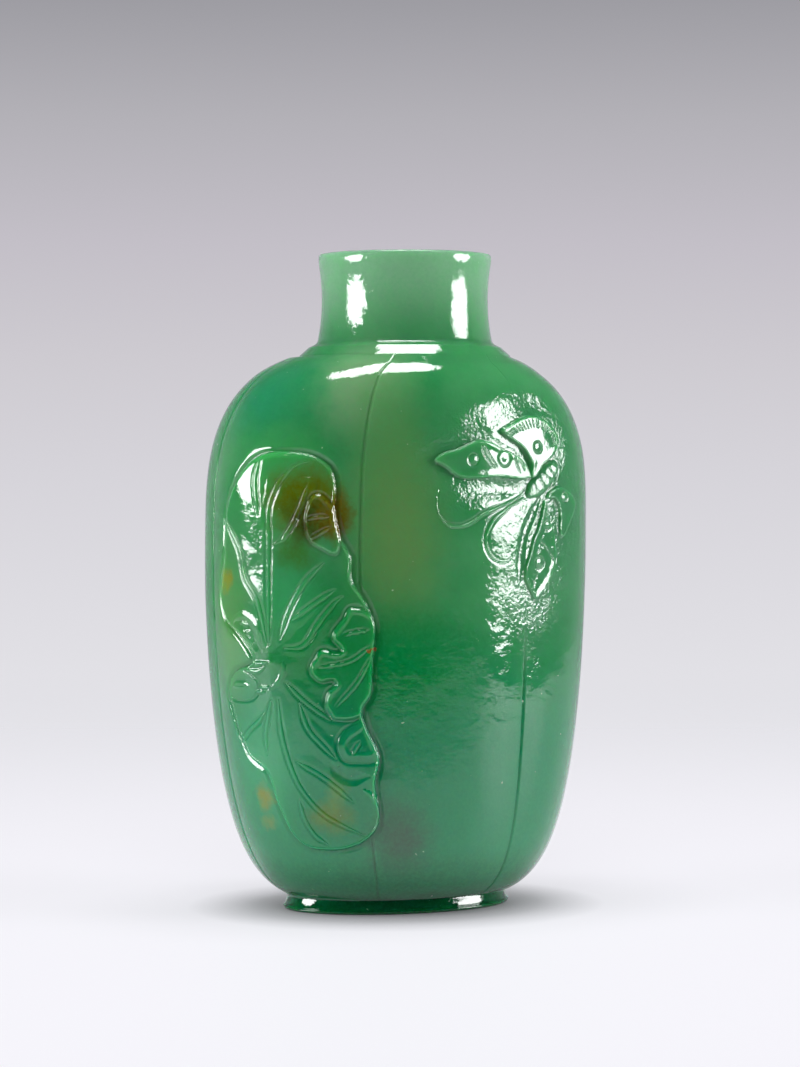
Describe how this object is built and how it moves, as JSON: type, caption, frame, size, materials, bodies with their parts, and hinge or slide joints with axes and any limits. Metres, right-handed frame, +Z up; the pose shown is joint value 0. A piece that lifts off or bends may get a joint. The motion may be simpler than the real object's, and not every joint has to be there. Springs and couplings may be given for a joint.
{
  "type": "snuff bottle",
  "caption": "Flattened lobed snuff bottle of carved green jadeite with a lotus leaf and a butterfly in low relief, on an oval foot; open mouth, no stopper.",
  "frame": {"origin": "centre of the oval foot's underside, on the plane the bottle stands on", "axes": "+Z up towards the mouth, +X across the broad faces, -Y the front with the leaf and the butterfly"},
  "size_m": [0.035, 0.0256, 0.058],
  "materials": {
    "jadeite": "carved and polished jadeite, translucent mottled green with an olive-brown inclusion"
  },
  "bodies": {
    "root": {"bottle": "jadeite"}
  },
  "joints": []
}
